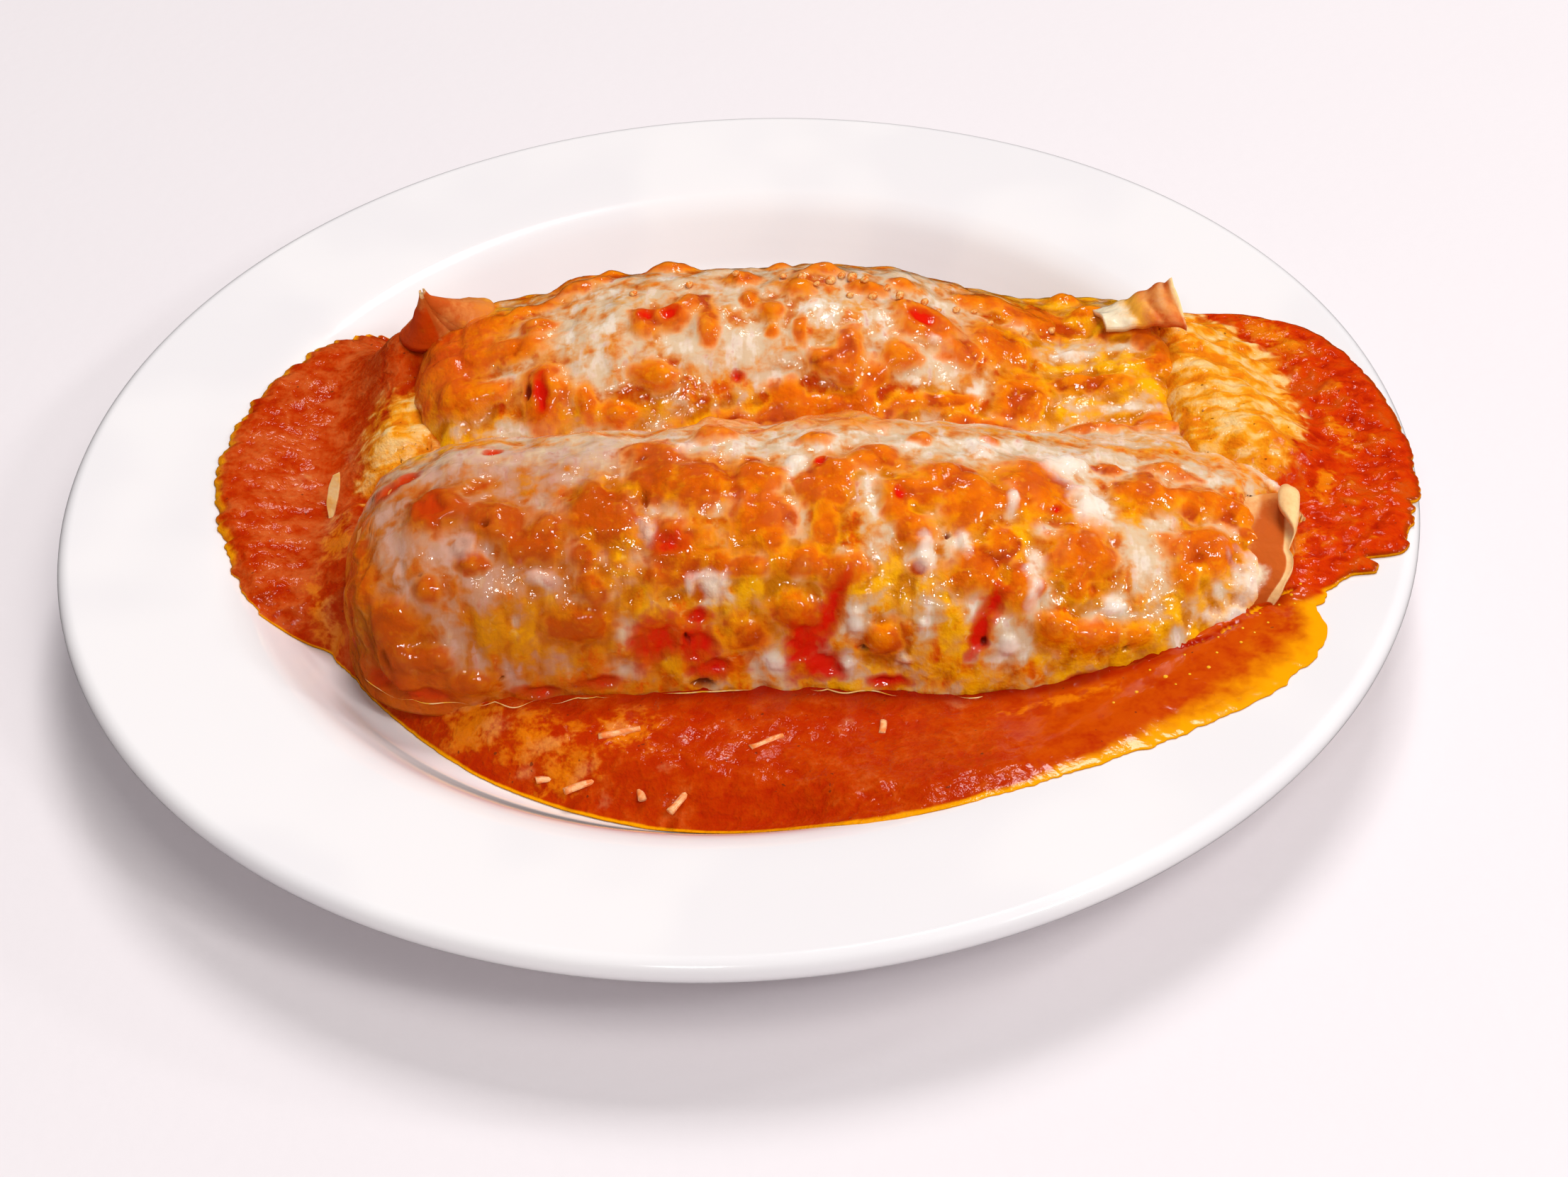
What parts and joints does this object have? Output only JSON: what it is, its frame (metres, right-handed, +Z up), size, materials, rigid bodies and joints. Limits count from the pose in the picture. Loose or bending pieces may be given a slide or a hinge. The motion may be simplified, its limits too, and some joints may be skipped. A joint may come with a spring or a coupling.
{
  "type": "plate of cannelloni baked with cheese in tomato sauce",
  "caption": "Large filled pasta rolls baked under browned melted cheese, in tomato sauce on a round wide-rimmed dinner plate.",
  "frame": {"origin": "middle of the plate on the surface that its foot ring stands on", "axes": "+Z up, X along the rolls, the front roll towards -Y"},
  "size_m": [0.28, 0.28, 0.0519],
  "materials": {
    "porcelain": "smooth clear glaze over white porcelain",
    "tomato_sauce": "wet grainy tomato sauce with an oily rim",
    "pasta": "baked pasta sheet, matte, slightly translucent",
    "browned_cheese": "melted cheese with orange-brown blisters and a sheen of oil"
  },
  "bodies": {
    "root": {"plate": "porcelain", "tomato_sauce": "tomato_sauce", "roll_front": "pasta", "roll_back": "pasta", "melted_cheese": "browned_cheese", "pasta_end_front": "pasta", "pasta_corner_back": "pasta", "pasta_end_back": "pasta", "pasta_flake_left": "pasta"}
  },
  "joints": []
}
